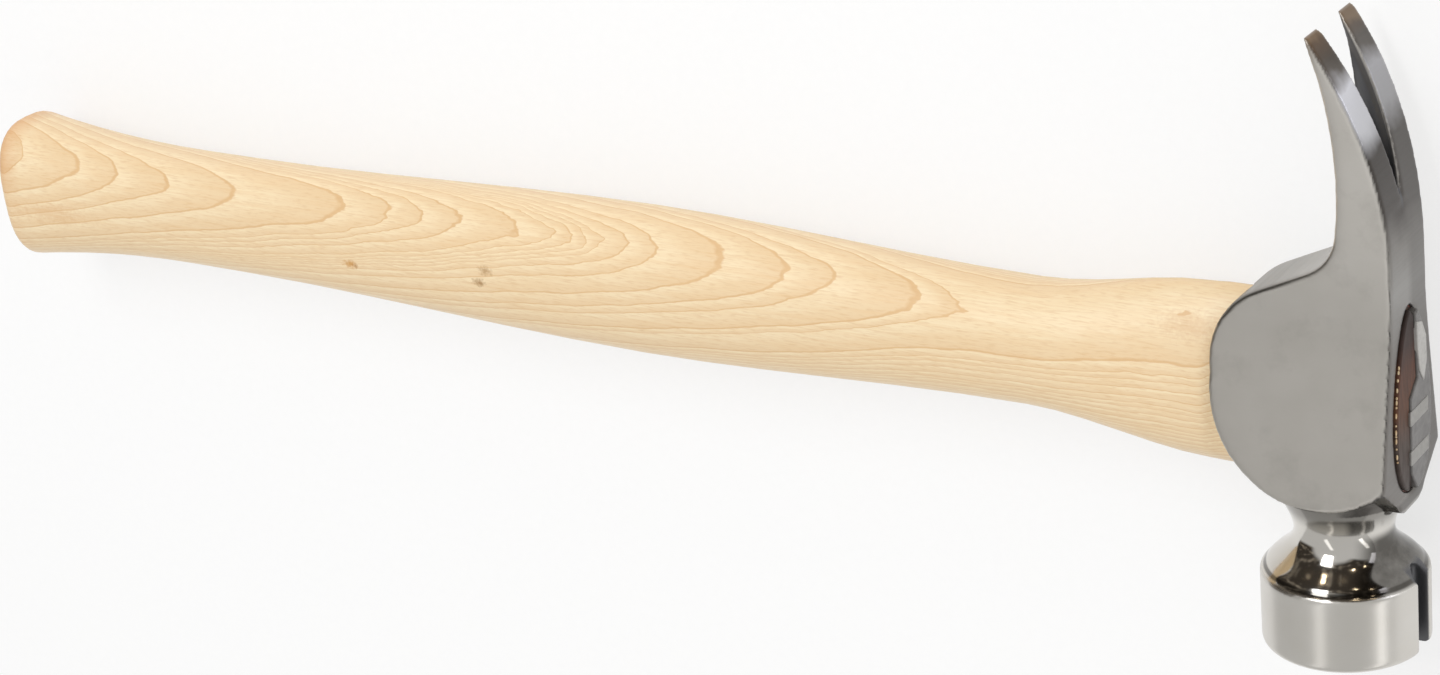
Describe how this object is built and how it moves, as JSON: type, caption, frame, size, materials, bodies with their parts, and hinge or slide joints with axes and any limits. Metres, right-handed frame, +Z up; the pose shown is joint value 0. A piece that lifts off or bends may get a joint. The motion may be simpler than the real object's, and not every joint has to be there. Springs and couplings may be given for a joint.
{
  "type": "framing hammer",
  "caption": "Framing hammer with a polished steel head, straight split claw, nail-starting groove with a magnet in the bell, and a contoured wooden handle wedged in the eye.",
  "frame": {"origin": "under the middle of the hammer's box, on the surface it lies on", "axes": "the hammer lies on its side: +X along the handle from the butt to the top of the head, +Y from the striking face to the claw, +Z up out of the upper cheek"},
  "size_m": [0.4069, 0.1478, 0.0383],
  "materials": {
    "head_steel": "forged steel, satin polish on cheeks and bell, mirror polish on the shoulder and neck",
    "handle_wood": "pale straight-grained hardwood, clear lacquer",
    "wedge_wood": "dark varnished end grain",
    "wedge_steel": "plain steel",
    "resin": "set red-brown bonding resin",
    "magnet": "dark grey magnet"
  },
  "bodies": {
    "root": {"hammer_head": "head_steel", "handle": "handle_wood", "wood_wedge": "wedge_wood", "steel_wedge_claw_side": "wedge_steel", "steel_wedge_poll_side": "wedge_steel", "eye_resin": "resin", "nail_magnet": "magnet"}
  },
  "joints": []
}
